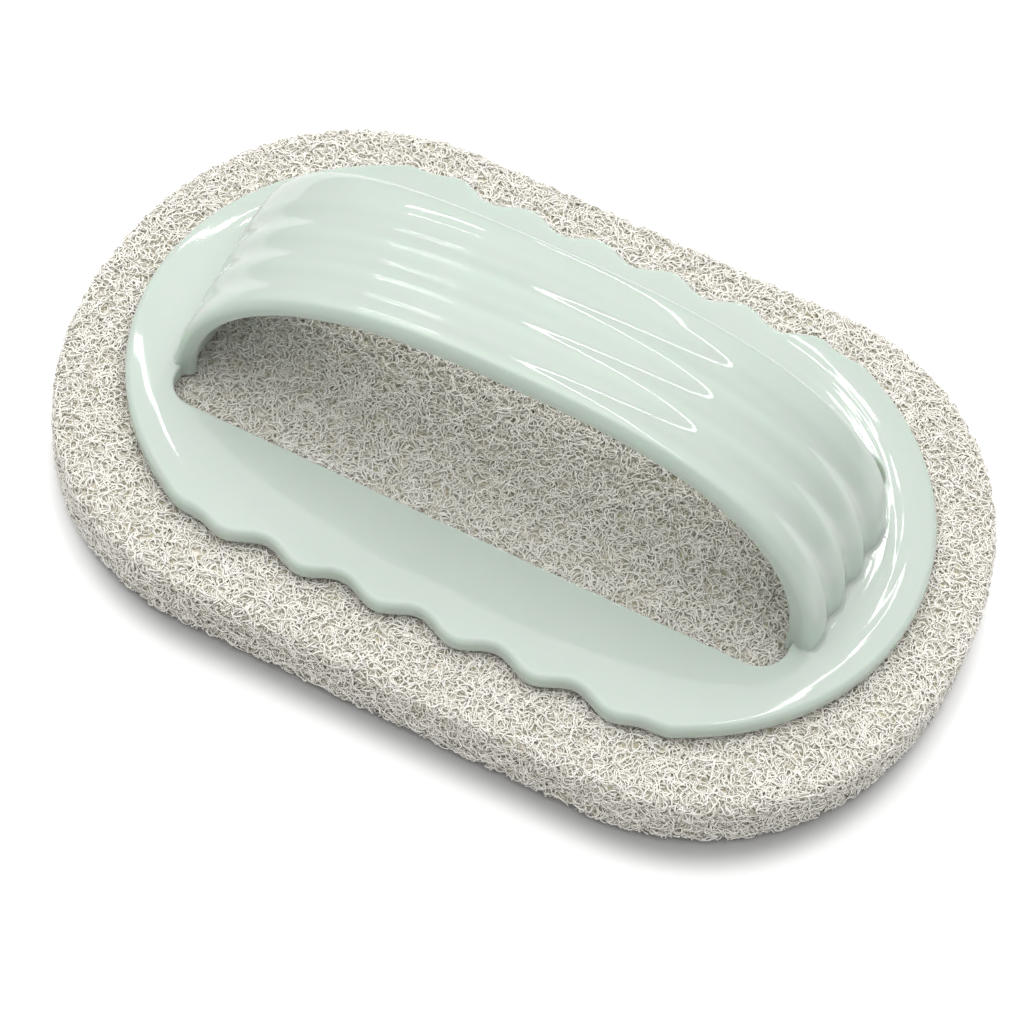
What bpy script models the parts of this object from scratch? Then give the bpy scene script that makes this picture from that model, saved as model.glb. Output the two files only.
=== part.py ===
"""Handled scouring pad: a moulded handle bonded to a pad of non-woven fibre.

The handle is one moulding: a thin plate with wavy long sides, and an arched, ribbed strap that
stands over an opening in the plate. Metres, +Z up. X runs along the pad, the fingers go in along Y,
and the origin is on the resting face, in the middle of the pad.
"""

import math

import bmesh
import bpy

# Fit between pieces
clearance = 0.0003          # gap between faces that touch on the real object
cut_overrun = 0.002         # how far a cutting shape runs past what it cuts

# Pad
pad_length = 0.150
pad_width = 0.1015
pad_thickness = 0.0104
pad_end_reach = 0.0428      # length of each rounded end, along X
pad_end_power = 2.14        # 2 is an ellipse, more is squarer
pad_rim_radius = 0.0011
pad_end_steps = 28

# Adhesive film
film_thickness = 0.0003
film_setback = 0.0025       # from the plate's edge and from the opening's

# Plate
plate_end_setback = 0.0093  # from the pad's edge to the plate's, at the ends
plate_side_setback = 0.0099  # the same along the sides, at the top of a bump
plate_thickness = 0.0027
plate_rim_radius = 0.0012
bumps_per_side = 6
bump_height = 0.00215       # from a dip to the top of a bump
plate_end_reach = 0.0270    # from the last dip to the plate's end, along X
plate_shoulder = 0.00128    # how far the end arc stands proud of the last dip
bump_fade_share = 0.45      # of a pitch, on each side of the last dip, where waves run into the end arc
points_per_bump = 10
plate_end_steps = 24
rim_steps = 3

# Arched strap
end_land = 0.0103           # of the plate, between a foot's outer face and the plate's end
finger_clearance = 0.0252   # from the plate to the lip at the crown
strap_arch_power = 2.5      # 2 is an ellipse, more has a flatter crown
strap_crown_width = 0.0256
foot_flare = 0.0018         # how much wider the strap is on each side at its feet
widening_power = 3          # the strap widens towards its feet with this power of the distance
strap_shift = -0.0012       # the strap stands a little in front of the middle
strap_wall = 0.0022
flange_height = 0.0009      # straight part of the turned-down edge, above its rounded lip
flange_rise = 0.0008        # hollow inside the rounded shoulder, upwards
flange_room = 0.00085       # and sideways, as far as the crest of the outer rib
rib_height = 0.0008         # from a valley to a crest
ribs = 4
foot_lift = 0.0002          # a foot ends just above the plate's underside
arch_steps = 34
points_per_rib = 6
shoulder_steps = 4
lip_steps = 4
path_samples = 2000

# Opening in the plate
foot_overhang = 0.0014      # how far each foot hangs inside the opening
side_land = 0.0158          # of the plate, between the opening and a dip of the wavy side
opening_corner_radius = 0.0045
corner_steps = 6

# Sizes that follow
plate_length = pad_length - 2 * plate_end_setback
plate_width = pad_width - 2 * (plate_side_setback + bump_height)
last_dip = plate_length / 2 - plate_end_reach
bump_pitch = 2 * last_dip / bumps_per_side
plate_end_width = plate_width / 2 + plate_shoulder
plate_end_radius = (plate_end_reach ** 2 + plate_end_width ** 2) / (2 * plate_end_reach)
lip_radius = strap_wall / 2
flange_drop = strap_wall + flange_rise
strap_depth = lip_radius + flange_height + flange_drop
rib_pitch = (strap_crown_width - 2 * (strap_wall + flange_room)) / (ribs - 1)
strap_inner_length = plate_length - 2 * (end_land + strap_depth)
opening_length = strap_inner_length + 2 * foot_overhang
opening_width = plate_width - 2 * side_land

# Heights that follow
film_bottom = pad_thickness + clearance
plate_bottom = film_bottom + film_thickness + clearance
plate_top = plate_bottom + plate_thickness
foot_level = plate_bottom + foot_lift
crown_lip_level = plate_top + finger_clearance


def clear_scene():
    """Start from an empty file."""
    for thing in list(bpy.data.objects):
        bpy.data.objects.remove(thing, do_unlink=True)


def make_material(name, colour, roughness):
    """A plain material in the piece's own colour."""
    material = bpy.data.materials.new(name)
    material.use_nodes = True
    shader = material.node_tree.nodes["Principled BSDF"]
    shader.inputs["Base Color"].default_value = (*colour, 1)
    shader.inputs["Roughness"].default_value = roughness
    shader.inputs["Metallic"].default_value = 0
    return material


def add_object(name, mesh, material=None):
    """Put a mesh in the scene under its own name, shaded smooth with crisp edges."""
    piece = bpy.data.objects.new(name, mesh)
    bpy.context.scene.collection.objects.link(piece)
    if material:
        mesh.materials.append(material)
    mesh.shade_smooth()
    mesh.set_sharp_from_angle(angle=math.radians(35))
    return piece


def add_tool_body(name, mesh):
    """A shape that only cuts or joins another piece, and isn't a piece itself."""
    body = add_object(name, mesh)
    body.hide_render = True
    body.display_type = "WIRE"
    return body


def add_boolean(piece, operation, other):
    """Cut the piece with another shape, or join the shape to it."""
    modifier = piece.modifiers.new(other.name, "BOOLEAN")
    modifier.operation = operation
    modifier.solver = "EXACT"
    modifier.object = other


def stack_rings(name, rings):
    """Closed mesh through rings of equal point counts, from the bottom up, capped at both ends."""
    shape = bmesh.new()
    loops = [[shape.verts.new(point) for point in ring] for ring in rings]
    count = len(rings[0])
    for lower, upper in zip(loops, loops[1:]):
        for i in range(count):
            j = (i + 1) % count
            shape.faces.new((lower[i], lower[j], upper[j], upper[i]))
    shape.faces.new(list(reversed(loops[0])))
    shape.faces.new(loops[-1])
    bmesh.ops.recalc_face_normals(shape, faces=shape.faces)
    mesh = bpy.data.meshes.new(name)
    shape.to_mesh(mesh)
    shape.free()
    return mesh


def inset_outline(outline, distance):
    """The outline moved inwards, square to itself. It runs counter-clockwise."""
    moved = []
    count = len(outline)
    for i, (x, y) in enumerate(outline):
        before = outline[i - 1]
        after = outline[(i + 1) % count]
        along_x = after[0] - before[0]
        along_y = after[1] - before[1]
        length = math.hypot(along_x, along_y)
        moved.append((x - distance * along_y / length, y + distance * along_x / length))
    return moved


def at_height(outline, z):
    """The flat outline as points at one height."""
    return [(x, y, z) for x, y in outline]


def rounded_end(centre_x, reach, half_width, power, steps):
    """One rounded end of the pad, from its -Y side round to its +Y side."""
    points = []
    for i in range(steps + 1):
        angle = math.pi * (i / steps - 0.5)
        along = abs(math.cos(angle)) ** (2 / power)
        across = math.copysign(abs(math.sin(angle)) ** (2 / power), math.sin(angle))
        points.append((centre_x + reach * along, half_width * across))
    return points


def pad_outline():
    """Long oval with straight sides."""
    centre_x = pad_length / 2 - pad_end_reach
    right = rounded_end(centre_x, pad_end_reach, pad_width / 2, pad_end_power, pad_end_steps)
    left = [(-x, -y) for x, y in right]
    return right + left


def make_pad(material):
    """Pad with a small round on its top and bottom rims."""
    outline = pad_outline()
    rings = []
    for i in range(rim_steps + 1):
        angle = math.pi / 2 * i / rim_steps
        inset = pad_rim_radius * (1 - math.sin(angle))
        rings.append(at_height(inset_outline(outline, inset), pad_rim_radius * (1 - math.cos(angle))))
    for i in range(rim_steps + 1):
        angle = math.pi / 2 * i / rim_steps
        inset = pad_rim_radius * (1 - math.cos(angle))
        height = pad_thickness - pad_rim_radius * (1 - math.sin(angle))
        rings.append(at_height(inset_outline(outline, inset), height))
    return add_object("scouring_pad", stack_rings("scouring_pad", rings), material)


def smooth_step(value):
    """0 below 0, 1 above 1, and a smooth rise between."""
    value = min(max(value, 0), 1)
    return value * value * (3 - 2 * value)


def plate_side(x, wave):
    """Distance of the plate's long side from the middle line at x."""
    fade = bump_fade_share * bump_pitch
    wavy = plate_width / 2 + wave / 2 * (1 - math.cos(2 * math.pi * x / bump_pitch))
    from_centre = abs(x) - (plate_length / 2 - plate_end_radius)
    arc = math.sqrt(max(plate_end_radius ** 2 - max(from_centre, 0) ** 2, 0))
    share = smooth_step((abs(x) - last_dip + fade) / (2 * fade))
    return wavy * (1 - share) + arc * share


def plate_outline(wave):
    """Plate's outline, counter-clockwise: round ends and wavy long sides."""
    centre_x = plate_length / 2 - plate_end_radius
    side_end = last_dip + bump_fade_share * bump_pitch
    last_angle = math.acos((side_end - centre_x) / plate_end_radius)
    right = []
    for i in range(plate_end_steps + 1):
        angle = last_angle * (2 * i / plate_end_steps - 1)
        right.append((centre_x + plate_end_radius * math.cos(angle), plate_end_radius * math.sin(angle)))
    steps = round(2 * side_end / bump_pitch * points_per_bump)
    top = []
    for i in range(1, steps):
        x = side_end * (1 - 2 * i / steps)
        top.append((x, plate_side(x, wave)))
    half = right + top
    return half + [(-x, -y) for x, y in half]


def opening_outline(grow):
    """Rounded rectangle of the opening, made larger all round by a margin."""
    radius = opening_corner_radius + grow
    corner_x = opening_length / 2 - opening_corner_radius
    corner_y = opening_width / 2 - opening_corner_radius
    points = []
    for turn, (side_x, side_y) in enumerate(((1, 1), (-1, 1), (-1, -1), (1, -1))):
        for i in range(corner_steps + 1):
            angle = math.pi / 2 * (turn + i / corner_steps)
            x = side_x * corner_x + radius * math.cos(angle)
            y = side_y * corner_y + radius * math.sin(angle)
            points.append((x, y))
    return points


def opening_cutter(name, grow):
    """Upright prism that cuts the opening through plate and film."""
    outline = opening_outline(grow)
    low = film_bottom - cut_overrun
    high = plate_top + cut_overrun
    return add_tool_body(name, stack_rings(name, [at_height(outline, low), at_height(outline, high)]))


def make_film(material):
    """Adhesive film under the plate, with straight sides and the plate's opening."""
    outline = inset_outline(plate_outline(0), film_setback)
    top = film_bottom + film_thickness
    mesh = stack_rings("adhesive_layer", [at_height(outline, film_bottom), at_height(outline, top)])
    film = add_object("adhesive_layer", mesh, material)
    add_boolean(film, "DIFFERENCE", opening_cutter("film_opening_cutter", film_setback))
    return film


def arch_path():
    """Lip line of the strap in the XZ plane, as (x, z, normal x, normal z), evenly spaced."""
    half_length = strap_inner_length / 2
    height = crown_lip_level - foot_level
    line = []
    for i in range(path_samples + 1):
        angle = math.pi * i / path_samples
        across = math.copysign(abs(math.cos(angle)) ** (2 / strap_arch_power), math.cos(angle))
        up = abs(math.sin(angle)) ** (2 / strap_arch_power)
        line.append((half_length * across, foot_level + height * up))
    line[0] = (half_length, foot_level)
    line[-1] = (-half_length, foot_level)
    lengths = [0]
    for (x0, z0), (x1, z1) in zip(line, line[1:]):
        lengths.append(lengths[-1] + math.hypot(x1 - x0, z1 - z0))
    stations = []
    index = 0
    for step in range(arch_steps + 1):
        target = lengths[-1] * step / arch_steps
        while index < path_samples - 1 and lengths[index + 1] < target:
            index += 1
        (x0, z0), (x1, z1) = line[index], line[index + 1]
        span = lengths[index + 1] - lengths[index]
        share = (target - lengths[index]) / span
        normal_x = (z1 - z0) / span
        normal_z = -(x1 - x0) / span
        stations.append((x0 + share * (x1 - x0), z0 + share * (z1 - z0), normal_x, normal_z))
    first, last = stations[0], stations[-1]
    stations[0] = (first[0], first[1], 1, 0)
    stations[-1] = (last[0], last[1], -1, 0)
    return stations


def rib_level(y):
    """Outer surface above the lip between the crests of the outer ribs, with a valley in the middle."""
    return strap_depth - rib_height / 2 * (1 + math.cos(2 * math.pi * y / rib_pitch))


def strap_section(half_width):
    """Closed section of the strap, as (y, height above the lip), round from the right lip."""
    outer_crest = (ribs - 1) / 2 * rib_pitch
    shoulder_level = strap_depth - flange_drop
    shoulder_reach = half_width - outer_crest
    section = []
    for i in range(lip_steps + 1):
        angle = math.pi * (i / lip_steps - 1)
        section.append((half_width - lip_radius + lip_radius * math.cos(angle),
                        lip_radius + lip_radius * math.sin(angle)))
    for i in range(shoulder_steps + 1):
        angle = math.pi / 2 * i / shoulder_steps
        section.append((outer_crest + shoulder_reach * math.cos(angle),
                        shoulder_level + flange_drop * math.sin(angle)))
    rib_points = (ribs - 1) * points_per_rib
    for i in range(1, rib_points // 2 + 1):
        y = outer_crest * (1 - 2 * i / rib_points)
        section.append((y, rib_level(y)))
    half_outer = section[:-1]
    outer = section + [(-y, level) for y, level in reversed(half_outer)]
    inner = []
    for i in range(rib_points + 1):
        y = outer_crest * (2 * i / rib_points - 1)
        inner.append((y, rib_level(y) - strap_wall))
    inner_reach = shoulder_reach - strap_wall
    shoulder = []
    for i in range(shoulder_steps):
        angle = math.pi / 2 * i / shoulder_steps
        shoulder.append((outer_crest + inner_reach * math.cos(angle),
                         shoulder_level + flange_rise * math.sin(angle)))
    left = [(-y, level) for y, level in shoulder]
    return outer + left + inner + list(reversed(shoulder))


def strap_body():
    """Arched strap, swept along its lip line from one foot to the other."""
    rings = []
    for x, z, normal_x, normal_z in arch_path():
        share = (abs(x) / (strap_inner_length / 2)) ** widening_power
        half_width = strap_crown_width / 2 + foot_flare * share
        ring = []
        for y, level in strap_section(half_width):
            ring.append((x + normal_x * level, y + strap_shift, z + normal_z * level))
        rings.append(ring)
    return add_tool_body("strap_blank", stack_rings("strap_blank", rings))


def make_handle(material):
    """Plate with a rounded upper rim and an opening, joined to the arched strap."""
    outline = plate_outline(bump_height)
    rings = [at_height(outline, plate_bottom)]
    for i in range(rim_steps + 1):
        angle = math.pi / 2 * i / rim_steps
        inset = plate_rim_radius * (1 - math.cos(angle))
        height = plate_top - plate_rim_radius * (1 - math.sin(angle))
        rings.append(at_height(inset_outline(outline, inset), height))
    handle = add_object("handle_moulding", stack_rings("handle_moulding", rings), material)
    add_boolean(handle, "DIFFERENCE", opening_cutter("plate_opening_cutter", 0))
    add_boolean(handle, "UNION", strap_body())
    return handle


def main():
    clear_scene()
    fibre = make_material("nonwoven_fibre", (0.62, 0.60, 0.54), 0.9)
    adhesive = make_material("hot_melt_adhesive", (0.75, 0.70, 0.55), 0.4)
    plastic = make_material("mint_plastic", (0.62, 0.74, 0.65), 0.18)
    assembly = bpy.data.objects.new("handled_scouring_pad", None)
    bpy.context.scene.collection.objects.link(assembly)
    for piece in (make_pad(fibre), make_film(adhesive), make_handle(plastic)):
        piece.parent = assembly


main()
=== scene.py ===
# %% [markdown]
# # A handled scouring pad, dressed for its photograph
# The CAD model has three pieces: a moulded handle, a pad of scouring fibre, and the film of adhesive
# between them. It fixes the main sizes. This lesson builds the surfaces that the eye sees in the same
# frame: X along the pad, Z up, the origin in the middle of the face that the pad rests on.

# %% Load the CAD model
import math

import bmesh
import bpy
import numpy as np
from mathutils import Matrix, Vector


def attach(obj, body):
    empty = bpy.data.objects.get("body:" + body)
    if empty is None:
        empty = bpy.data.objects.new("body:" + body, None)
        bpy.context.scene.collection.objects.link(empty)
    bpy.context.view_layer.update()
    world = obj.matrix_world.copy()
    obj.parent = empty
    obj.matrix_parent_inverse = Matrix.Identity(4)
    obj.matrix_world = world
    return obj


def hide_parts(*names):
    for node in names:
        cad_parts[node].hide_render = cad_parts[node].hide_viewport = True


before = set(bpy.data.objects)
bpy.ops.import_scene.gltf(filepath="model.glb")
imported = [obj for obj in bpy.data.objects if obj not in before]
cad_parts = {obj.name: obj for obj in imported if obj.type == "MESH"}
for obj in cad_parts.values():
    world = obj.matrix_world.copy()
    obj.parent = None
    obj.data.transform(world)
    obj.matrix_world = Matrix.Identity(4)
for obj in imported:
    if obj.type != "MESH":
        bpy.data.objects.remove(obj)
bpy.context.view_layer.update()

mm = 0.001
print("pieces:", sorted(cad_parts))

# %% [markdown]
# ## The camera
# The photograph looks down steeply on the pad from its right front corner, through a long lens from
# about half a metre. The angles were found by fitting the outlines of pad, plate and strap.

# %% Place the camera
turn, height_angle, roll = 0.29, 0.947, 0.195
distance, shift_right, shift_up = 471.5 * mm, 1.473 * mm, 4.975 * mm
focal_pixels, frame_pixels, sensor = 2960.8, 1024, 36

back = Vector((math.sin(turn) * math.cos(height_angle), -math.cos(turn) * math.cos(height_angle),
               math.sin(height_angle)))
level_right = Vector((math.cos(turn), math.sin(turn), 0))
level_up = back.cross(level_right)
right = math.cos(roll) * level_right + math.sin(roll) * level_up
up = math.cos(roll) * level_up - math.sin(roll) * level_right
camera = bpy.data.objects.new("camera", bpy.data.cameras.new("camera"))
camera.matrix_world = Matrix.Translation(distance * back - shift_right * right - shift_up * up) @ \
    Matrix((right, up, back)).transposed().to_4x4()
camera.data.sensor_width = sensor
camera.data.lens = focal_pixels / frame_pixels * sensor
bpy.context.scene.collection.objects.link(camera)
bpy.context.scene.camera = camera
print("camera stands", round(camera.matrix_world.translation.length, 3), "m away")

# %% [markdown]
# ## Helpers for materials
# Colours are written as the hex values that a colour picker shows. The renderer works in linear
# light, so one function turns them. A second one adds a shader node with its settings and links.

# %% Colours and nodes
def linear(hex_colour):
    """Turn an sRGB hex colour such as "c8d8cb" into linear red, green, blue and alpha."""
    shares = [int(hex_colour[i:i + 2], 16) / 255 for i in (0, 2, 4)]
    return (*[s / 12.92 if s <= 0.04045 else ((s + 0.055) / 1.055) ** 2.4 for s in shares], 1)


def add_node(tree, kind, inputs=None, **settings):
    """Add a node, set its properties, and fill its inputs with plain values or other nodes' outputs."""
    node = tree.nodes.new(kind)
    for name, value in settings.items():
        setattr(node, name, value)
    for name, value in (inputs or {}).items():
        if isinstance(value, bpy.types.NodeSocket):
            tree.links.new(value, node.inputs[name])
        else:
            node.inputs[name].default_value = value
    return node


def new_material(name):
    """An empty material, its node tree and its output node."""
    material = bpy.data.materials.new(name)
    material.use_nodes = True
    material.node_tree.nodes.clear()
    return material, material.node_tree, material.node_tree.nodes.new("ShaderNodeOutputMaterial")


print("plain white is", linear("ffffff"), "and mid grey", [round(v, 3) for v in linear("808080")])

# %% [markdown]
# ## The studio
# The object lies on a seamless white sweep. A flat sheet does as well as a curved one, because the
# camera looks down and never sees its far edge.

# %% Floor
floor_half = 1.5
floor_corners = [(-floor_half, -floor_half, 0), (floor_half, -floor_half, 0), (floor_half, floor_half, 0),
                 (-floor_half, floor_half, 0)]
floor_mesh = bpy.data.meshes.new("floor")
floor_mesh.from_pydata(floor_corners, [], [(0, 1, 2, 3)])
floor = bpy.data.objects.new("floor", floor_mesh)
bpy.context.scene.collection.objects.link(floor)
print("floor is", 2 * floor_half, "m wide")

# %% [markdown]
# The photograph's shadow is short and deep, and lies almost only in front of the pad. Light from all round
# alone would spread it wider. So the shadow is painted into the floor: two things shape it, and both
# follow the pad's outline, moved to the front by a few millimetres. The outline is a superellipse with a
# straight piece in its middle, and the nodes work out how far each place of the floor lies outside it.

# %% Distance from the pad's outline
pad_half_length, pad_half_width, pad_thickness = 75.0 * mm, 50.75 * mm, 10.4 * mm
pad_end_reach, pad_end_power = 42.8 * mm, 2.14
shade_shift = (3.2 * mm, -7.5 * mm, 0.0)

paper, tree, output = new_material("white_paper_painted_shadow")
place = add_node(tree, "ShaderNodeTexCoord")
shifted = add_node(tree, "ShaderNodeVectorMath", {0: place.outputs["Object"], 1: shade_shift},
                   operation="SUBTRACT")
folded = add_node(tree, "ShaderNodeVectorMath", {0: shifted.outputs[0]}, operation="ABSOLUTE")
axes = add_node(tree, "ShaderNodeSeparateXYZ", {"Vector": folded.outputs[0]})
along_end = add_node(tree, "ShaderNodeMapRange", {
    "Value": axes.outputs["X"], "From Min": pad_half_length - pad_end_reach,
    "From Max": pad_half_length, "To Max": 1.0}, clamp=False)
end = add_node(tree, "ShaderNodeMath", {0: along_end.outputs[0], 1: 0.0}, operation="MAXIMUM")
end = add_node(tree, "ShaderNodeMath", {0: end.outputs[0], 1: pad_end_power}, operation="POWER")
side = add_node(tree, "ShaderNodeMath", {0: axes.outputs["Y"], 1: pad_half_width}, operation="DIVIDE")
side = add_node(tree, "ShaderNodeMath", {0: side.outputs[0], 1: pad_end_power}, operation="POWER")
oval = add_node(tree, "ShaderNodeMath", {0: end.outputs[0], 1: side.outputs[0]}, operation="ADD")
oval = add_node(tree, "ShaderNodeMath", {0: oval.outputs[0], 1: 1 / pad_end_power}, operation="POWER")
away = add_node(tree, "ShaderNodeMath", {0: oval.outputs[0], 1: pad_half_width, 2: -pad_half_width},
                operation="MULTIPLY_ADD")
print("the pad's outline is moved by", [shift / mm for shift in shade_shift], "mm")

# %% [markdown]
# The paper's colour is painted greyer right beside the pad, as a painted shadow. A little light of its
# own, for the camera alone, lifts the open floor to white, and it is left out near the pad, which deepens
# the painted shadow. It lights nothing else, so the object keeps its own plain light.

# %% White paper with a painted shadow
paper_white = linear("f0f0f0")
shade_grey, shade_start, shade_end = 0.52, -7.5 * mm, -2.5 * mm
lift_most, lift_start, lift_end = 0.25, -4.5 * mm, 2.8 * mm

# Painted shadow: the paper's colour is darkened beside the pad, most where it is closest.
grey = add_node(tree, "ShaderNodeMapRange", {
    "Value": away.outputs[0], "From Min": shade_start, "From Max": shade_end,
    "To Min": shade_grey, "To Max": 1.0}, interpolation_type="SMOOTHSTEP")
colour = add_node(tree, "ShaderNodeVectorMath", {0: paper_white[:3], "Scale": grey.outputs[0]},
                  operation="SCALE")
matte = add_node(tree, "ShaderNodeBsdfDiffuse", {"Color": colour.outputs[0]})
rays = add_node(tree, "ShaderNodeLightPath")
# The camera-only glow fades out towards the pad, which adds to the painted shadow.
open_floor = add_node(tree, "ShaderNodeMapRange", {
    "Value": away.outputs[0], "From Min": lift_start, "From Max": lift_end,
    "To Min": 0.0, "To Max": lift_most}, interpolation_type="SMOOTHSTEP")
lift = add_node(tree, "ShaderNodeMath", {0: rays.outputs["Is Camera Ray"], 1: open_floor.outputs[0]},
                operation="MULTIPLY")
glow = add_node(tree, "ShaderNodeEmission", {"Color": linear("ffffff"), "Strength": lift.outputs[0]})
both = add_node(tree, "ShaderNodeAddShader", {0: matte.outputs[0], 1: glow.outputs[0]})
tree.links.new(both.outputs[0], output.inputs["Surface"])
floor_mesh.materials.append(paper)
print("floor material:", paper.name)

# %% [markdown]
# The light that comes from all round is a white tent. It is brightest overhead, a little towards the
# left and the back, and dimmer near the floor. The camera sees it as plain white.

# %% Light tent
tent_low, tent_top, tent_power = 0.27, 2.2, 3.0
brightest = Vector((-0.12, 0.06, 0.99)).normalized()

world = bpy.data.worlds.new("white_tent")
world.use_nodes = True
tree = world.node_tree
background = tree.nodes["Background"]
background.inputs["Color"].default_value = linear("ffffff")
view = add_node(tree, "ShaderNodeTexCoord")
toward = add_node(tree, "ShaderNodeVectorMath", {0: view.outputs["Generated"], 1: brightest},
                  operation="DOT_PRODUCT")
facing = add_node(tree, "ShaderNodeMath", {0: toward.outputs["Value"], 1: 0.0}, operation="MAXIMUM")
overhead = add_node(tree, "ShaderNodeMath", {0: facing.outputs[0], 1: tent_power}, operation="POWER")
tent = add_node(tree, "ShaderNodeMath", {0: overhead.outputs[0], 1: tent_top, 2: tent_low},
                operation="MULTIPLY_ADD")
rays = add_node(tree, "ShaderNodeLightPath")
level = add_node(tree, "ShaderNodeMix", {0: rays.outputs["Is Camera Ray"], 2: tent.outputs[0], 3: 1.0},
                 data_type="FLOAT")
tree.links.new(level.outputs[0], background.inputs["Strength"])
bpy.context.scene.world = world
bpy.context.scene.view_settings.view_transform = "Standard"
print("tent strength runs from", tent_low, "to", tent_low + tent_top)

# %% [markdown]
# Thin strip lamps draw the crisp lines along the ribs: two short ones at the left, and a long one that
# runs from low behind the object to overhead. Each rib shows the long lamp twice, once on either side
# of its steepest line, and the two images meet where the strap turns down to its right foot. The
# directions come from reflecting the camera's line of sight in the strap where the lines are seen.

# %% Lamps
lamp_distance = 1.0


def add_strip_lamp(name, start, end, width, radiance):
    """A lamp that spans from one direction to another. Its radiance is a multiple of plain white."""
    start, end = Vector(start).normalized(), Vector(end).normalized()
    facing, along = (start + end).normalized(), (end - start).normalized()
    lamp = bpy.data.lights.new(name, "AREA")
    lamp.shape = "RECTANGLE"
    lamp.size, lamp.size_y = 2 * lamp_distance * math.tan(start.angle(end) / 2), width
    lamp.energy = radiance * math.pi * lamp.size * lamp.size_y
    stand = bpy.data.objects.new(name, lamp)
    stand.matrix_world = Matrix.Translation(lamp_distance * facing) @ \
        Matrix((along, facing.cross(along), facing)).transposed().to_4x4()
    bpy.context.scene.collection.objects.link(stand)


add_strip_lamp("left_low_strip", (-0.56, 0.58, 0.60), (-0.33, 0.63, 0.70), width=0.02, radiance=24)
add_strip_lamp("left_high_strip", (-0.57, 0.42, 0.70), (-0.34, 0.45, 0.82), width=0.02, radiance=24)
add_strip_lamp("right_strip", (-0.22, 0.94, 0.26), (0.29, 0.0, 0.96), width=0.017, radiance=18)
print("lamps:", [lamp.name for lamp in bpy.data.lights])

# %% [markdown]
# ## The handle: plate
# The handle is one injection moulding. Its plate is a thin sheet with round ends and wavy long sides,
# and the middle is open, because the mould's core for the underside of the strap passes through it.
# A Boolean cut would leave long thin triangles that shade badly, so the plate is made as rings of
# points instead: each ring runs once round, between the opening and the outer edge.

# %% Outline of the plate
plate_half_length, plate_dip, end_radius = 65.7 * mm, 38.7 * mm, 43.1 * mm
bump_pitch, bump_height, bumps = 12.9 * mm, 2.15 * mm, 6
around = 720


def smooth_step(value):
    """0 below 0, 1 above 1, and a smooth rise between."""
    value = np.clip(value, 0, 1)
    return value * value * (3 - 2 * value)


def plate_half_width(x):
    """Wavy long side, running into the round end."""
    last_dip = bumps / 2 * bump_pitch
    fade = 0.45 * bump_pitch
    wavy = plate_dip + bump_height / 2 * (1 - np.cos(2 * np.pi * x / bump_pitch))
    reach = np.maximum(np.abs(x) - (plate_half_length - end_radius), 0)
    arc = np.sqrt(np.maximum(end_radius ** 2 - reach ** 2, 0))
    share = smooth_step((np.abs(x) - last_dip + fade) / (2 * fade))
    return wavy * (1 - share) + arc * share


def radius_at(angles, x, y):
    """Distance of a closed outline from the middle, read at these directions."""
    found = np.arctan2(y, x)
    order = np.argsort(found)
    return np.interp(angles, found[order], np.hypot(x, y)[order], period=2 * np.pi)


def plate_outline(angles, points=4001):
    """Radius of the plate's outer edge in each direction."""
    t = np.linspace(0, np.pi, points)
    x = plate_half_length * np.cos(t)
    y = plate_half_width(x)
    return radius_at(angles, np.concatenate([x, -x[1:-1]]), np.concatenate([y, -y[1:-1]]))


angles = np.linspace(-np.pi, np.pi, around, endpoint=False)
heading = np.stack([np.cos(angles), np.sin(angles)], axis=1)
outer_edge = heading * plate_outline(angles)[:, None]
print("plate is", np.ptp(outer_edge, axis=0) / mm, "mm")

# %% [markdown]
# The opening is a long rectangle with round corners. In the photograph its two ends aren't quite
# square to its sides, so the outline is sheared a little, and the strap's feet later go with it.

# %% Outline of the opening
opening_half_length, opening_half_width, opening_corner = 51.8 * mm, 22.75 * mm, 4.8 * mm
shear = 0.04


def opening_outline(angles, end_points=80, corner_points=60, side_points=160):
    """Radius of the opening in each direction."""
    t = np.linspace(0, np.pi / 2, corner_points)
    corner_x = opening_half_length - opening_corner * (1 - np.cos(t))
    corner_y = opening_half_width - opening_corner * (1 - np.sin(t))
    x = np.concatenate([np.full(end_points, opening_half_length), corner_x[1:-1],
                        np.linspace(corner_x[-1], 0, side_points)])
    y = np.concatenate([np.linspace(0, opening_half_width - opening_corner, end_points), corner_y[1:-1],
                        np.full(side_points, opening_half_width)])
    x, y = np.concatenate([x, -x, -x, x]), np.concatenate([y, y, -y, -y])
    return radius_at(angles, x + shear * y, y)


opening_edge = heading * opening_outline(angles)[:, None]
print("opening is", np.ptp(opening_edge, axis=0) / mm, "mm")

# %% [markdown]
# Each ring is an outline moved square to itself, at some height. Two helpers do that, and a third
# turns the rings into a mesh of quads.

# %% Helpers for rings
def moved(outline, distance):
    """The closed outline moved sideways: outwards for a positive distance."""
    along = np.roll(outline, -1, axis=0) - np.roll(outline, 1, axis=0)
    along /= np.linalg.norm(along, axis=1)[:, None]
    return outline + distance * np.stack([along[:, 1], -along[:, 0]], axis=1)


def at_height(outline, z):
    """The flat outline as points at one height."""
    return np.column_stack([outline, np.full(len(outline), z)])


def ring_mesh(name, rings, closed):
    """Mesh of quads through rings of points. Closed rings of rings make a tube that bites its tail."""
    points = np.concatenate(rings)
    count, total = len(rings[0]), len(rings)
    step = np.arange(count)
    after = (step + 1) % count
    faces = []
    for i in range(total if closed else total - 1):
        low, high = i * count, (i + 1) % total * count
        faces.append(np.stack([low + step, low + after, high + after, high + step], axis=1))
    faces = np.concatenate(faces).tolist()
    if not closed:
        faces += [step[::-1].tolist(), (step + (total - 1) * count).tolist()]
    mesh = bpy.data.meshes.new(name)
    mesh.from_pydata(points.tolist(), [], faces)
    shape = bmesh.new()
    shape.from_mesh(mesh)
    bmesh.ops.recalc_face_normals(shape, faces=shape.faces)
    shape.to_mesh(mesh)
    shape.free()
    return mesh


print("a test outline grows from", outer_edge[0] / mm, "to", moved(outer_edge, mm)[0] / mm)

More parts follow.
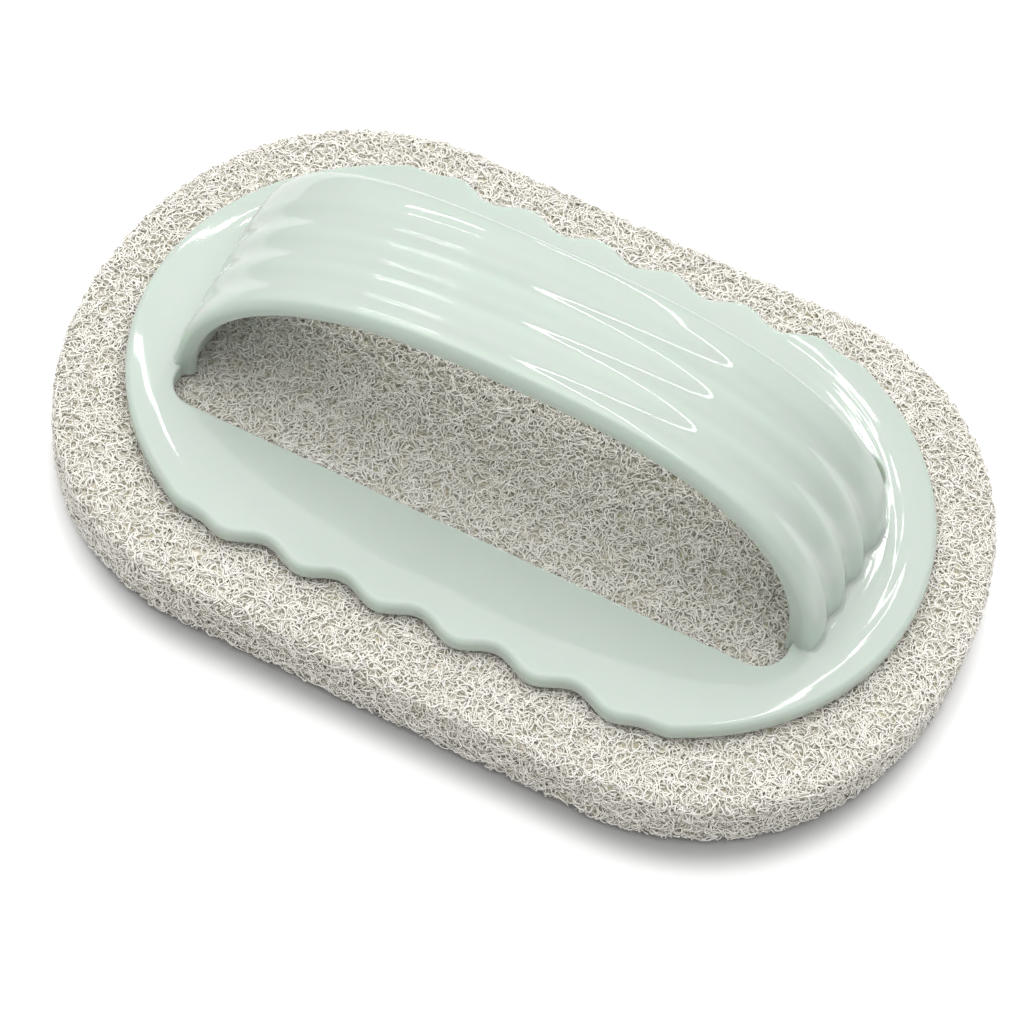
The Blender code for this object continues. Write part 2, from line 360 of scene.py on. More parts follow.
# %% [markdown]
# The rings start at the plate's lower edge and go up the outside, over the top, down the opening and
# back below. The upper rim has a wide round, as the mould gives it, and catches the long bright line
# that runs round the plate in the photograph.

# %% Rings of the plate
plate_bottom, plate_top = 11.3 * mm, 14.0 * mm
rim_radius, edge_radius, foot_round = 1.0 * mm, 0.45 * mm, 0.3 * mm
quarter_turn = np.pi / 2

rings = []
for bend in quarter_turn * np.linspace(0, 1, 5):
    outline = moved(outer_edge, foot_round * (np.sin(bend) - 1))
    rings.append(at_height(outline, plate_bottom + foot_round * (1 - np.cos(bend))))
for bend in quarter_turn * np.linspace(0, 1, 11):
    outline = moved(outer_edge, rim_radius * (np.cos(bend) - 1))
    rings.append(at_height(outline, plate_top + rim_radius * (np.sin(bend) - 1)))
outer_flat = moved(outer_edge, -rim_radius)
inner_flat = moved(opening_edge, edge_radius)
for share in np.concatenate([[0.02], np.linspace(0.08, 0.92, 11), [0.98]]):
    rings.append(at_height(outer_flat * (1 - share) + inner_flat * share, plate_top))
for bend in quarter_turn * np.linspace(0, 1, 7):
    outline = moved(opening_edge, edge_radius * (1 - np.sin(bend)))
    rings.append(at_height(outline, plate_top + edge_radius * (np.cos(bend) - 1)))
rings.append(at_height(opening_edge, plate_bottom))
for share in (0.3, 0.7):
    rings.append(at_height(opening_edge * (1 - share) + outer_edge * share, plate_bottom))
plate_mesh = ring_mesh("plate", rings, closed=True)
plate = bpy.data.objects.new("plate", plate_mesh)
bpy.context.scene.collection.objects.link(plate)
print("plate has", len(plate_mesh.polygons), "faces")

# %% [markdown]
# ## The handle: strap
# The strap rises from both ends of the opening and arches over the fingers. A curve with a bevel
# profile could follow the arch, but its section couldn't widen and lean at the feet, so a section is
# swept along the arch by hand. The arch is drawn along the lip of the strap's turned-down edges. It is
# a superellipse: flatter at the crown than an ellipse, and upright at the feet.

# %% Line of the arch
lip_half_length, crown_lip, foot_level, arch_power = 50.4 * mm, 39.2 * mm, 11.5 * mm, 2.5
arch_points, stations, ease = 20001, 340, 0.80

t = np.linspace(0, np.pi, arch_points)
arch_x = lip_half_length * np.sign(np.cos(t)) * np.abs(np.cos(t)) ** (2 / arch_power)
arch_z = foot_level + (crown_lip - foot_level) * np.sin(t) ** (2 / arch_power)
arch_z[-1] = foot_level
run = np.concatenate([[0], np.cumsum(np.hypot(np.diff(arch_x), np.diff(arch_z)))])
share = np.linspace(0, 1, stations + 1)
# The stations stand closer together near the feet, where the arch bends most and the fillets are.
even = run[-1] * (share - ease * np.sin(2 * np.pi * share) / (2 * np.pi))
line_x, line_z = np.interp(even, run, arch_x), np.interp(even, run, arch_z)
slope_x, slope_z = np.gradient(line_x, even), np.gradient(line_z, even)
slope_x[[0, -1]] = 0
length = np.hypot(slope_x, slope_z)
out_x, out_z = slope_z / length, -slope_x / length
print("arch is", round(run[-1] / mm, 1), "mm long from foot to foot")

# %% [markdown]
# The section is drawn flat first, as y across the strap and the height above the lip. It is a wave of
# four ribs in a wall of even thickness, with edges that turn down and end in a round lip. The row of
# ribs stands a little nearer to the front edge, which leaves the rear edge its wider shoulder.

# %% Measures of the section
strap_wall, strap_depth, lip_round, inner_bend = 2.2 * mm, 5.0 * mm, 1.1 * mm, 1.4 * mm
rib_pitch, rib_height, ribs = 6.8 * mm, 0.66 * mm, 4
rib_shift, rib_drift = -2.1 * mm, 0.004
rear_drop, front_drop, front_lean = 3.0 * mm, 2.2 * mm, 0.8 * mm
front_power, rear_power = 3.0, 3.1
outer_crest = (ribs - 1) / 2 * rib_pitch


def rib_level(y, middle, height):
    """Outer surface above the lip, between the crests of the outer ribs."""
    return strap_depth - height / 2 * (1 + np.cos(2 * np.pi * (y - middle) / rib_pitch))


def superellipse_corner(reach, rise, count, power):
    """Points of a rounded corner, from its foot at (reach, 0) up to its top at (0, rise)."""
    t = np.linspace(0, np.pi / 2, count)
    return np.column_stack([reach * np.cos(t) ** (2 / power), rise * np.sin(t) ** (2 / power)])


print("outer ribs stand", round(2 * outer_crest / mm, 1), "mm apart")

# %% [markdown]
# One function joins the parts of the section: rear shoulder, ribs, front shoulder, front lip, the
# inside of the wall, rear lip.

# %% Section of the strap
rib_points, shoulder_points, lip_points, inner_points, bend_points = 99, 20, 13, 44, 9


def strap_section(front, rear, middle, height):
    """Closed section as (y, level): over the ribs from the rear edge to the front one, and back inside."""
    rear_crest, front_crest = middle + outer_crest, middle - outer_crest
    rib_y = np.linspace(rear_crest, front_crest, rib_points)[1:-1]
    ribs_outside = np.column_stack([rib_y, rib_level(rib_y, middle, height)])
    rear_shoulder = superellipse_corner(rear - rear_crest, rear_drop, shoulder_points, rear_power)
    rear_shoulder = rear_shoulder + [rear_crest, strap_depth - rear_drop]
    front_shoulder = superellipse_corner(front_crest - front + front_lean, front_drop, shoulder_points,
                                         front_power) * [-1, 1]
    front_shoulder = (front_shoulder + [front_crest, strap_depth - front_drop])[::-1]
    lip = np.linspace(np.pi, 2 * np.pi, lip_points)
    lip_level = lip_round * (1 + np.sin(lip))
    front_lip = np.column_stack([front + lip_round * (1 + np.cos(lip)), lip_level])
    rear_lip = np.column_stack([rear - lip_round * (1 - np.cos(lip)), lip_level])
    inner_y = np.linspace(front + strap_wall + inner_bend, rear - strap_wall - inner_bend, inner_points)
    inner_level = rib_level(inner_y, middle, height) - strap_wall
    front_bend = superellipse_corner(inner_bend, inner_level[0] - lip_round, bend_points, front_power)
    front_bend = front_bend * [-1, 1] + [inner_y[0], lip_round]
    rear_bend = superellipse_corner(inner_bend, inner_level[-1] - lip_round, bend_points, front_power)
    rear_bend = (rear_bend + [inner_y[-1], lip_round])[::-1]
    ribs_inside = np.column_stack([inner_y, inner_level])
    return np.concatenate([rear_shoulder, ribs_outside, front_shoulder, front_lip, front_bend[1:],
                           ribs_inside[1:-1], rear_bend[:-1], rear_lip])


crown_half_width = 12.8 * mm
section = strap_section(-crown_half_width, crown_half_width, rib_shift, rib_height)
print("section has", len(section), "points and is", np.ptp(section, axis=0) / mm, "mm")

# %% [markdown]
# Now the section is swept along the arch. Towards the feet it grows wider. The left foot spreads and
# leans out at its rear, and the right one is pinched there, which opens a small gap where the pad
# shows through. Just above the plate every point moves outwards in a low quarter round, so that strap
# and plate meet in a fillet as moulded plastic does. That swelling stays off the wall's inner side and
# off what hangs inside the opening.

# %% Sweep the strap
foot_flare, strap_shift = 1.8 * mm, -1.2 * mm
right_rise, left_fall = 0.2 * mm, 0.3 * mm
rear_spread, front_spread, rear_pinch, left_rake = 3.0 * mm, 0.5 * mm, 1.2 * mm, 22.0
fillet, fillet_reach, fillet_start = 0.5 * mm, 0.6 * mm, 2.4 * mm
above_plate, outer_fade = 0.012 * mm, 0.3

rings = []
for x, z, nx, nz in zip(line_x, line_z, out_x, out_z):
    left, right_side = max(-x / lip_half_length, 0), max(x / lip_half_length, 0)
    near_foot = (abs(x) / lip_half_length) ** 3
    half_width = crown_half_width + foot_flare * near_foot
    height = rib_height + right_rise * right_side ** 2 - left_fall * left ** 2
    flat = strap_section(-half_width - front_spread * left ** 6,
                         half_width + rear_spread * left ** 2 - rear_pinch * right_side ** 2,
                         rib_shift + rib_drift * x, height)
    flat[:, 1] *= 1 + left_rake * left ** 2 * flat[:, 0]
    along = np.roll(flat, -1, axis=0) - np.roll(flat, 1, axis=0)
    along /= np.linalg.norm(along, axis=1)[:, None]
    outward = np.column_stack([along[:, 1], -along[:, 0]])
    above = z + nz * flat[:, 1] - plate_top + above_plate
    moved_x = shear * flat[:, 0] * near_foot
    over_plate = smooth_step((np.abs(x + nx * flat[:, 1]) - opening_half_length) / fillet_start)
    rest = np.clip(fillet - np.maximum(above, 0), 0, fillet)
    outer_side = smooth_step(1 + outward[:, 1] / outer_fade)
    swell = fillet_reach * (1 - np.sqrt(1 - (rest / fillet) ** 2)) * over_plate * outer_side
    flat = flat + outward * swell[:, None]
    rings.append(np.column_stack([x + nx * flat[:, 1] + moved_x, flat[:, 0] + strap_shift,
                                  z + nz * flat[:, 1]]))
strap_mesh = ring_mesh("strap", rings, closed=False)
strap = bpy.data.objects.new("strap", strap_mesh)
bpy.context.scene.collection.objects.link(strap)
print("strap has", len(strap_mesh.polygons), "faces")

# %% [markdown]
# Plate and strap become one closed body with a Boolean union, as the real moulding is one piece.

# %% Join plate and strap
join = plate.modifiers.new("join_strap", "BOOLEAN")
join.operation = "UNION"
join.solver = "EXACT"
join.object = strap
handle_mesh = bpy.data.meshes.new_from_object(plate.evaluated_get(bpy.context.evaluated_depsgraph_get()))
for helper in (plate, strap):
    bpy.data.objects.remove(helper, do_unlink=True)
handle_mesh.name = "handle"
handle_mesh.shade_smooth()
handle_mesh.set_sharp_from_angle(angle=math.radians(40))
handle = bpy.data.objects.new("handle", handle_mesh)
bpy.context.scene.collection.objects.link(handle)
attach(handle, "root")
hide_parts("handle_moulding")
print("handle has", len(handle_mesh.polygons), "faces")

# %% [markdown]
# ## The plastic
# The handle is polypropylene, moulded against a polished tool and tinted mint. That gives a sharp
# gloss over a milky body: light sinks in a little way and softens the shade in the valleys. Green
# light sinks in furthest, so the shade has more of the tint. A plain coloured gloss would look like
# paint, so the shader scatters light below its surface.
#
# The reflections show that the moulding isn't true. At both ends the plate turns down a little just
# before its rim, and draws a thin bright line there. Round the feet of the strap, where the plastic
# cooled last, it sags a little more, mostly at the rear. Both are bumps, and they fall with the square
# of the distance past a circle round the middle of the round end.

# %% Mint polypropylene: tint and sag
cloud_size = 22 * mm
edge_start, edge_curve = 38.6 * mm, 18.0
sag_start, sag_curve, sag_front_share, sag_full = 28 * mm, 2.2, 0.3, 26 * mm

polypropylene, tree, output = new_material("moulded_polypropylene_mint")
place = add_node(tree, "ShaderNodeTexCoord")
cloud = add_node(tree, "ShaderNodeTexNoise", {"Vector": place.outputs["Object"],
                                              "Scale": 1 / cloud_size, "Detail": 2.0})
tint = add_node(tree, "ShaderNodeMix", {0: cloud.outputs["Fac"], 6: linear("c0cbc2"), 7: linear("c7d1c9")},
                data_type="RGBA")

axes = add_node(tree, "ShaderNodeSeparateXYZ", {"Vector": place.outputs["Object"]})
length_way = add_node(tree, "ShaderNodeMath", {0: axes.outputs["X"]}, operation="ABSOLUTE")
end_centre = plate_half_length - end_radius
beyond = add_node(tree, "ShaderNodeMath", {0: length_way.outputs[0], 1: end_centre}, operation="SUBTRACT")
beyond = add_node(tree, "ShaderNodeMath", {0: beyond.outputs[0], 1: 0.0}, operation="MAXIMUM")
from_end = add_node(tree, "ShaderNodeCombineXYZ", {"X": beyond.outputs[0], "Y": axes.outputs["Y"]})
reach = add_node(tree, "ShaderNodeVectorMath", {0: from_end.outputs[0]}, operation="LENGTH")
edge = add_node(tree, "ShaderNodeMath", {0: reach.outputs["Value"], 1: edge_start}, operation="SUBTRACT")
edge = add_node(tree, "ShaderNodeMath", {0: edge.outputs[0], 1: 0.0}, operation="MAXIMUM")
edge = add_node(tree, "ShaderNodeMath", {0: edge.outputs[0], 1: 2.0}, operation="POWER")
sag = add_node(tree, "ShaderNodeMath", {0: reach.outputs["Value"], 1: sag_start}, operation="SUBTRACT")
sag = add_node(tree, "ShaderNodeMath", {0: sag.outputs[0], 1: 0.0}, operation="MAXIMUM")
sag = add_node(tree, "ShaderNodeMath", {0: sag.outputs[0], 1: 2.0}, operation="POWER")
at_rear = add_node(tree, "ShaderNodeMapRange", {
    "Value": axes.outputs["Y"], "From Min": 0.0, "From Max": sag_full,
    "To Min": -sag_front_share * sag_curve, "To Max": -sag_curve})
sag = add_node(tree, "ShaderNodeMath", {0: sag.outputs[0], 1: at_rear.outputs[0]}, operation="MULTIPLY")
fall = add_node(tree, "ShaderNodeMath", {0: edge.outputs[0], 1: -edge_curve, 2: sag.outputs[0]},
                operation="MULTIPLY_ADD")
rim_fall = edge_curve * (end_radius - edge_start) ** 2
print("the rim falls by", round(rim_fall / mm, 2), "mm, and the sag is added to that")

# %% [markdown]
# The sagging plastic also set in long low ripples that bend round the feet, and these break the lamps'
# reflections into the bright curved flashes seen at the plate's rear right. They are a noise that is
# stretched along circles round the middle of the end. All this belongs to the top of the plate near
# its ends, so it fades out towards the middle and up the strap.

# %% Mint polypropylene: ripples
flow_width, flow_turns, flow_height = 2.0 * mm, 1.5, 0.085 * mm
flow_front_share, flow_front, flow_rear = 0.2, -24 * mm, 8 * mm

bearing = add_node(tree, "ShaderNodeMath", {0: axes.outputs["Y"], 1: beyond.outputs[0]},
                   operation="ARCTAN2")
rows = add_node(tree, "ShaderNodeMath", {0: reach.outputs["Value"], 1: flow_width}, operation="DIVIDE")
turns = add_node(tree, "ShaderNodeMath", {0: bearing.outputs[0], 1: flow_turns}, operation="MULTIPLY")
which_end = add_node(tree, "ShaderNodeMath", {0: axes.outputs["X"]}, operation="SIGN")
flow_place = add_node(tree, "ShaderNodeCombineXYZ", {"X": rows.outputs[0], "Y": turns.outputs[0],
                                                     "Z": which_end.outputs[0]})
flow = add_node(tree, "ShaderNodeTexNoise", {"Vector": flow_place.outputs[0], "Scale": 1.0, "Detail": 1.5})
ripple = add_node(tree, "ShaderNodeMapRange", {
    "Value": axes.outputs["Y"], "From Min": flow_front, "From Max": flow_rear,
    "To Min": flow_front_share * flow_height, "To Max": flow_height})
uneven = add_node(tree, "ShaderNodeMath", {0: flow.outputs["Fac"], 1: ripple.outputs[0],
                                           2: fall.outputs[0]}, operation="MULTIPLY_ADD")
near_end = add_node(tree, "ShaderNodeMapRange", {
    "Value": length_way.outputs[0], "From Min": 0.8 * end_centre, "From Max": 1.4 * end_centre},
    interpolation_type="SMOOTHSTEP")
low_down = add_node(tree, "ShaderNodeMapRange", {
    "Value": axes.outputs["Z"], "From Min": plate_top + 0.1 * mm, "From Max": plate_top + 1.0 * mm,
    "To Min": 1.0, "To Max": 0.0})
where = add_node(tree, "ShaderNodeMath", {0: near_end.outputs[0], 1: low_down.outputs[0]},
                 operation="MULTIPLY")
plate_height = add_node(tree, "ShaderNodeMath", {0: uneven.outputs[0], 1: where.outputs[0]},
                        operation="MULTIPLY")
plate_bump = add_node(tree, "ShaderNodeBump", {"Height": plate_height.outputs[0], "Strength": 1.0,
                                               "Distance": 1.0})
print("ripples are", flow_width / mm, "mm wide and", flow_height / mm, "mm high")

# %% [markdown]
# A real moulding also has faint sink marks, which bend its reflections, and an almost invisible grain.
# The gloss varies a little with the same clouds as the tint.

# %% Mint polypropylene: sink marks, grain and shader
sink_size, sink_depth = 9 * mm, 0.045 * mm
grain_size, grain_depth = 0.6 * mm, 0.0012 * mm

sink = add_node(tree, "ShaderNodeTexNoise", {"Vector": place.outputs["Object"], "Scale": 1 / sink_size,
                                             "Detail": 1.0})
sink_bump = add_node(tree, "ShaderNodeBump", {"Height": sink.outputs["Fac"], "Strength": 1.0,
                                              "Distance": sink_depth, "Normal": plate_bump.outputs[0]})
grain = add_node(tree, "ShaderNodeTexNoise", {"Vector": place.outputs["Object"], "Scale": 1 / grain_size,
                                              "Detail": 2.0})
grain_bump = add_node(tree, "ShaderNodeBump", {"Height": grain.outputs["Fac"], "Strength": 1.0,
                                               "Distance": grain_depth, "Normal": sink_bump.outputs[0]})
haze = add_node(tree, "ShaderNodeMapRange", {"Value": cloud.outputs["Fac"], "To Min": 0.04,
                                             "To Max": 0.06})
shader = add_node(tree, "ShaderNodeBsdfPrincipled", {
    "Base Color": tint.outputs[2], "Roughness": haze.outputs[0], "IOR": 1.49, "Metallic": 0.0,
    "Subsurface Weight": 0.55, "Subsurface Radius": (0.7, 1.3, 0.8), "Subsurface Scale": 2.4 * mm,
    "Normal": grain_bump.outputs[0]})
tree.links.new(shader.outputs[0], output.inputs["Surface"])
handle_mesh.materials.clear()
handle_mesh.materials.append(polypropylene)
print("handle material:", polypropylene.name)

# %% [markdown]
# ## The pad
# The pad is coarse non-woven fibre: thick curled strands, laid at random and bonded where they cross.
# A bump map would stay flat at the edges, and here the loose strands make the whole outline, so the
# outer layer is real strands. Inside it lies a plain core that stands for the depth of the web. To lay
# the strands, one function has to tell how deep a point lies below the pad's rounded surface.

# %% Depth below the pad's surface
pad_rim = 1.6 * mm
tiny, least_slope = 1e-9, 1e-6


def pad_depth(points):
    """Depth of each point below the pad's surface, and the direction straight out of the pad there."""
    x, y, z = points.T
    straight = pad_half_length - pad_end_reach
    end = np.maximum(np.abs(x) - straight, 0) / pad_end_reach
    side = np.abs(y) / pad_half_width
    total = np.maximum(end ** pad_end_power + side ** pad_end_power, tiny)
    size = total ** (1 / pad_end_power)
    grow = total ** (1 / pad_end_power - 1)
    slope_x = grow * end ** (pad_end_power - 1) / pad_end_reach * np.sign(x)
    slope_y = grow * side ** (pad_end_power - 1) / pad_half_width * np.sign(y)
    steep = np.maximum(np.hypot(slope_x, slope_y), least_slope)
    side_depth = (1 - size) / steep
    level_depth = np.minimum(z, pad_thickness - z)
    from_side = np.maximum(pad_rim - side_depth, 0)
    from_level = np.maximum(pad_rim - level_depth, 0)
    corner = np.hypot(from_side, from_level)
    depth = np.where(corner > 0, pad_rim - corner, np.minimum(side_depth, level_depth))
    none = corner <= 0
    weight_side = np.where(none, side_depth < level_depth, from_side / np.maximum(corner, tiny))
    weight_level = np.where(none, side_depth >= level_depth, from_level / np.maximum(corner, tiny))
    outward = np.column_stack([weight_side * slope_x / steep, weight_side * slope_y / steep,
                               weight_level * np.where(z > pad_thickness / 2, 1.0, -1.0)])
    return depth, outward / np.maximum(np.linalg.norm(outward, axis=1), tiny)[:, None]


probe = np.array([[0, 0, pad_thickness], [pad_half_length, 0, 5 * mm], [0, -pad_half_width, 5 * mm]])
print("depth at three points of the surface, in mm:", (pad_depth(probe)[0] / mm).round(3))

# %% [markdown]
# The strands start at random places in the outer layer. None start where the plate hides them, and
# fewer underneath, to save faces. They are as thick as the photograph shows them, about 0.3 mm.

# %% Where strands start
fibre_radius, layer = 0.145 * mm, 0.85 * mm
hidden_margin, underside_share = 4 * mm, 0.45
batch = 200000
rng = np.random.default_rng(7)


def under_plate(points, margin):
    """True where the plate covers the pad, away from the plate's edges by a margin."""
    direction = np.arctan2(points[:, 1], points[:, 0])
    away = np.hypot(points[:, 0], points[:, 1])
    outer = np.interp(direction, angles, np.linalg.norm(outer_edge, axis=1), period=2 * np.pi)
    inner = np.interp(direction, angles, np.linalg.norm(opening_edge, axis=1), period=2 * np.pi)
    return (away < outer - margin) & (away > inner + margin) & (points[:, 2] > pad_thickness / 2)


def starting_points(count):
    """Points spread evenly through the outer layer, with few underneath and none below the plate."""
    low = [-pad_half_length, -pad_half_width, 0]
    high = [pad_half_length, pad_half_width, pad_thickness]
    found = []
    while sum(map(len, found)) < count:
        points = rng.uniform(low, high, (batch, 3))
        depth, outward = pad_depth(points)
        wanted = np.where(outward[:, 2] < -0.7, underside_share, 1.0)
        wanted = np.where(under_plate(points, hidden_margin), 0.0, wanted)
        found.append(points[(depth > 0) & (depth < layer) & (rng.uniform(0, 1, len(points)) < wanted)])
    return np.concatenate(found)[:count]


print("fibre is", round(2 * fibre_radius / mm, 2), "mm thick, its layer", round(layer / mm, 2), "mm deep")

# %% [markdown]
# From its start each strand walks forward in short steps. Its heading swings from side to side, which
# gives the crimp of the real fibre, and after every step it is brought back to its own depth, which
# rises and falls along the strand. So strands bend round the pad's edges by themselves, weave over and
# under each other, and a few stand proud as fuzz. Both ends dive into the web.

# %% Walk the strands
walk_step, walk_points = 0.34 * mm, 14
plate_clearance, least_cover, most_fuzz = 0.5 * mm, 0.25 * mm, 0.12 * mm
dive_start, dive_depth = 0.7, 2.0 * mm


def walk_strands(count):
    """Centre lines of the strands, as an array of strands by points by coordinates."""
    here = starting_points(count)
    own_depth, _ = pad_depth(here)
    depth_swing = rng.uniform(0.05, 0.35, count) * mm
    depth_wave = rng.uniform(1.8, 4.5, count) * mm
    phase, second_phase = rng.uniform(0, 2 * np.pi, (2, count))
    steady_curl = rng.normal(0, 0.45, count) / mm
    crimp = rng.uniform(0.7, 1.7, count) / mm
    crimp_wave = rng.uniform(2.5, 5.5, count) * mm
    heading = rng.normal(0, 1, (count, 3))
    lines = []
    for step in range(walk_points):
        along = step * walk_step
        depth, outward = pad_depth(here)
        heading -= outward * np.sum(heading * outward, axis=1)[:, None]
        heading /= np.maximum(np.linalg.norm(heading, axis=1), tiny)[:, None]
        turn_by = walk_step * (steady_curl + crimp * np.sin(2 * np.pi * along / crimp_wave + phase))
        sideways = np.cross(outward, heading)
        heading = heading * np.cos(turn_by)[:, None] + sideways * np.sin(turn_by)[:, None]
        here = here + heading * walk_step
        depth, outward = pad_depth(here)
        wanted = own_depth + depth_swing * np.sin(2 * np.pi * along / depth_wave + second_phase)
        end_dive = np.maximum(0, abs(2 * step / (walk_points - 1) - 1) - dive_start) * dive_depth
        least = np.where(under_plate(here, plate_clearance), least_cover, -most_fuzz)
        here = here + outward * (depth - np.maximum(wanted + end_dive, least))[:, None]
        here[:, 2] = np.clip(here[:, 2], fibre_radius, None)
        lines.append(here.copy())
    return np.stack(lines, axis=1)


strand_count = 42000
strands = walk_strands(strand_count)
print(strand_count, "strands,", round(strand_count * walk_points * walk_step, 1), "m of fibre")

# %% [markdown]
# Each centre line becomes a thin three-sided tube with closed ends. A curve object with a bevel would
# do the same for one strand, but thousands of them are far quicker as plain arrays. Smooth shading
# makes a tube look round, and three sides keep the web light enough to handle.

# %% Turn strands into tubes
sides = 3
no_axis = np.array([0.31, 0.52, 0.79])


def tube_arrays(lines, radius):
    """Points, quads and end triangles of closed tubes along many centre lines of equal length."""
    count, points, _ = lines.shape
    along = np.gradient(lines, axis=1)
    along /= np.linalg.norm(along, axis=2)[:, :, None]
    across = np.cross(along, no_axis)
    across /= np.linalg.norm(across, axis=2)[:, :, None]
    third = np.cross(along, across)
    thick = radius[:, None, None] * np.ones((1, points, 1))
    corners = []
    for k in range(sides):
        bearing = 2 * math.pi * k / sides
        corners.append(lines + thick * (math.cos(bearing) * across + math.sin(bearing) * third))
    vertices = np.stack(corners, axis=2).reshape(-1, 3)
    first = np.arange(count) * points * sides
    base = first[:, None, None] + (np.arange(points - 1) * sides)[None, :, None]
    k = np.arange(sides)[None, None, :]
    after = (k + 1) % sides
    quads = np.stack([base + k, base + after, base + sides + after, base + sides + k], axis=3)
    starts = first[:, None] + np.array([2, 1, 0])
    ends = first[:, None] + (points - 1) * sides + np.array([0, 1, 2])
    return vertices, quads.reshape(-1, 4), np.concatenate([starts, ends])


def fibre_object(name, lines, radius):
    """One mesh object that holds many strands."""
    vertices, quads, ends = tube_arrays(lines, radius)
    mesh = bpy.data.meshes.new(name)
    mesh.vertices.add(len(vertices))
    mesh.vertices.foreach_set("co", vertices.astype(np.float32).ravel())
    corners = np.concatenate([quads.ravel(), ends.ravel()])
    sizes = np.concatenate([np.full(len(quads), 4), np.full(len(ends), 3)])
    mesh.loops.add(len(corners))
    mesh.loops.foreach_set("vertex_index", corners.astype(np.int32))
    mesh.polygons.add(len(sizes))
    mesh.polygons.foreach_set("loop_start", np.concatenate([[0], np.cumsum(sizes)[:-1]]).astype(np.int32))
    mesh.polygons.foreach_set("use_smooth", np.ones(len(sizes), dtype=bool))
    mesh.update(calc_edges=True)
    thing = bpy.data.objects.new(name, mesh)
    bpy.context.scene.collection.objects.link(thing)
    return thing


print("a strand has", walk_points * sides, "points")

# %% [markdown]
# The tubes are shared out over several objects by their place along the pad, so that no single mesh
# grows too big.

# %% Fibre webs
strand_triangles = 6 * (walk_points - 1) + 2
most_triangles = 185000
groups = math.ceil(strand_count * strand_triangles / most_triangles)
middle = strands[:, walk_points // 2, 0]
limits = np.quantile(middle, np.linspace(0, 1, groups + 1))
strand_radius = fibre_radius * rng.uniform(0.8, 1.15, strand_count)
webs = []
for i in range(groups):
    chosen = (middle >= limits[i]) & ((middle < limits[i + 1]) | (i == groups - 1))
    webs.append(fibre_object(f"fibre_web_{i + 1}", strands[chosen], strand_radius[chosen]))
print("fibre faces:", [len(web.data.polygons) for web in webs])

# %% [markdown]
# The core fills the pad below the strands. It is the same long oval, drawn in a little on all sides.

# %% Core of the pad
core_inset, core_round, core_bottom = 0.8 * mm, 0.8 * mm, 0.5 * mm


def pad_outline(inset, count=260):
    """The pad's outline, drawn in by an inset."""
    t = np.linspace(-np.pi, np.pi, count, endpoint=False)
    along = np.sign(np.cos(t)) * np.abs(np.cos(t)) ** (2 / pad_end_power) * (pad_end_reach - inset)
    straight = pad_half_length - pad_end_reach
    across = np.sign(np.sin(t)) * np.abs(np.sin(t)) ** (2 / pad_end_power) * (pad_half_width - inset)
    return np.column_stack([along + np.sign(np.cos(t)) * straight, across])


rings = []
for bend in np.linspace(0, np.pi / 2, 5):
    outline = pad_outline(core_inset + core_round * (1 - np.sin(bend)))
    rings.append(at_height(outline, core_bottom + core_round * (1 - np.cos(bend))))
for bend in np.linspace(0, np.pi / 2, 5):
    outline = pad_outline(core_inset + core_round * (1 - np.cos(bend)))
    rings.append(at_height(outline, pad_thickness - core_inset - core_round * (1 - np.sin(bend))))
core_mesh = ring_mesh("pad_core", rings, closed=False)
core_mesh.shade_smooth()
core_mesh.set_sharp_from_angle(angle=math.radians(50))
pad = bpy.data.objects.new("pad_core", core_mesh)
bpy.context.scene.collection.objects.link(pad)
for web in webs:
    web.parent = pad
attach(pad, "root")
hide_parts("scouring_pad")
print("core has", len(core_mesh.polygons), "faces")

# %% [markdown]
# ## The fibre
# The strands are crimped polyester, dull grey-white, coated with a binder that leaves them slightly
# uneven in colour. So every strand gets its own tone, and patches of binder lie over it.

# %% Non-woven polyester
binder_size = 1.5 * mm

fibre, tree, output = new_material("crimped_polyester_fibre")
strand = add_node(tree, "ShaderNodeNewGeometry")
place = add_node(tree, "ShaderNodeTexCoord")
tone = add_node(tree, "ShaderNodeMix", {0: strand.outputs["Random Per Island"], 6: linear("f8f5ec"),
                                        7: linear("fffdf8")}, data_type="RGBA")
patches = add_node(tree, "ShaderNodeTexNoise", {"Vector": place.outputs["Object"],
                                                "Scale": 1 / binder_size, "Detail": 2.0})
binder = add_node(tree, "ShaderNodeMapRange", {
    "Value": patches.outputs["Fac"], "From Min": 0.35, "From Max": 0.65, "To Min": 0.0, "To Max": 0.35})
coated = add_node(tree, "ShaderNodeMix", {0: binder.outputs[0], 6: tone.outputs[2], 7: linear("f0ece0")},
                  data_type="RGBA")
shader = add_node(tree, "ShaderNodeBsdfPrincipled", {"Base Color": coated.outputs[2], "Roughness": 0.55,
                                                     "IOR": 1.5, "Metallic": 0.0})
tree.links.new(shader.outputs[0], output.inputs["Surface"])
for web in webs:
    web.data.materials.append(fibre)
print("fibre material:", fibre.name)

# %% [markdown]
# The core takes the darker tones that are seen between the strands: a net of light walls, which stand for
# deeper strands, round cells painted dark as the shade in the gaps of the web. The cells are about as wide
# as those gaps, and are pressed in a little.

# %% Deeper web, with painted shade in its gaps
cell_size, cell_depth, cell_wall = 0.8 * mm, 0.2 * mm, 0.25

